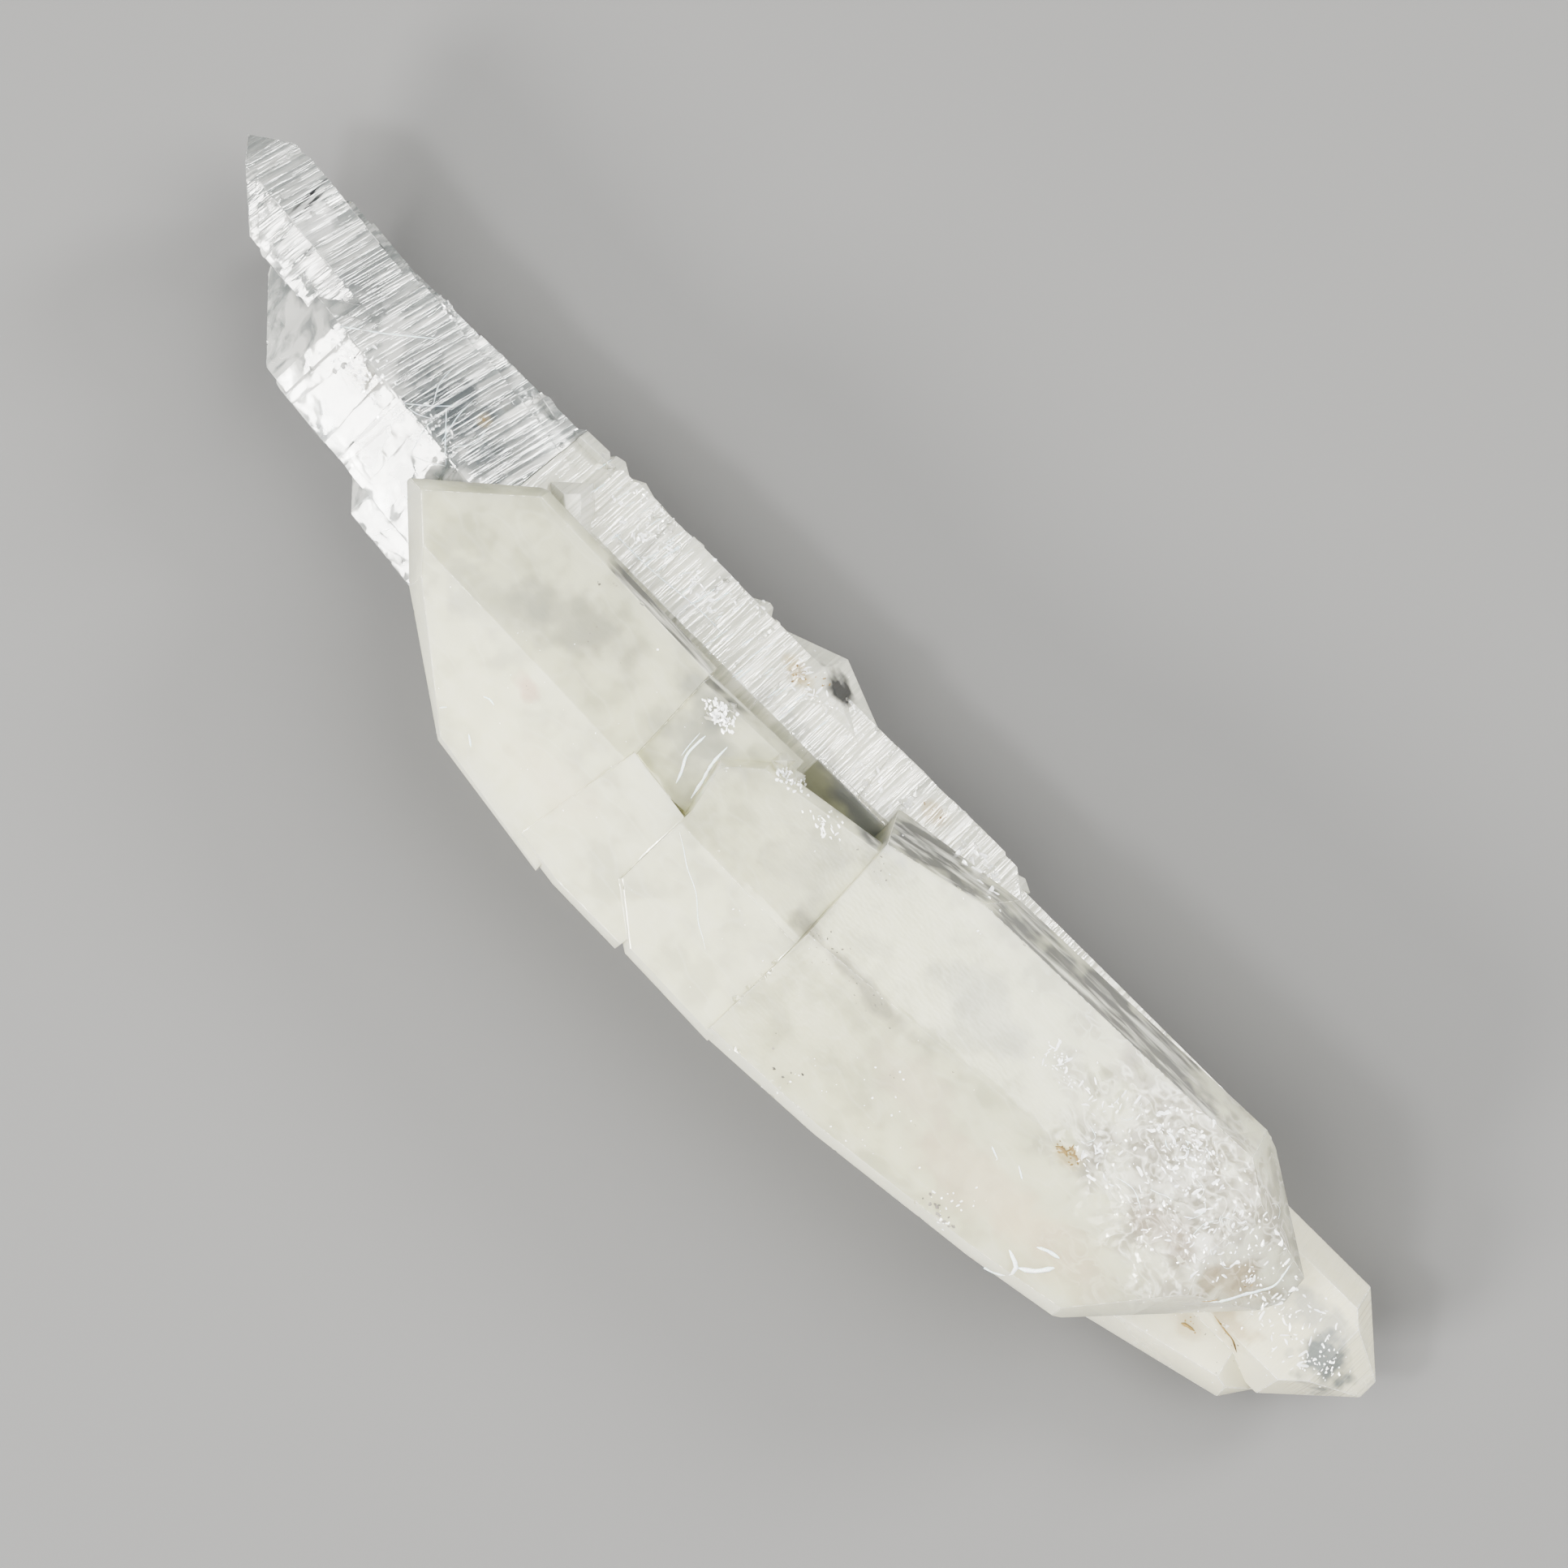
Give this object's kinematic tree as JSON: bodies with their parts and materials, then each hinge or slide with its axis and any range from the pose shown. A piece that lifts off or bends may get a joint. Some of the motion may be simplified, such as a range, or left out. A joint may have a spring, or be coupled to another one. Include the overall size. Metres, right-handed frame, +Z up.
{
  "type": "faden quartz crystal cluster",
  "caption": "Flat, leaf-shaped cluster of quartz crystals grown side by side, milky plates in front and clear pointed crystals behind, with stepped ridges and faceted tips.",
  "frame": {"origin": "On the surface that the cluster lies on, under the middle of its box.", "axes": "+X along the length of the cluster, toward the tip of its clear spire. +Z up, out of the ridges of the milky plates, away from the flat back that it lies on. +Y across, toward the rounded edge of the milky plates."},
  "size_m": [0.0498, 0.011, 0.0076],
  "materials": {
    "quartz": "natural crystal faces, glassy, milky in the front plates and clear in the rear crystals"
  },
  "bodies": {
    "root": {"quartz_cluster": "quartz"}
  },
  "joints": []
}
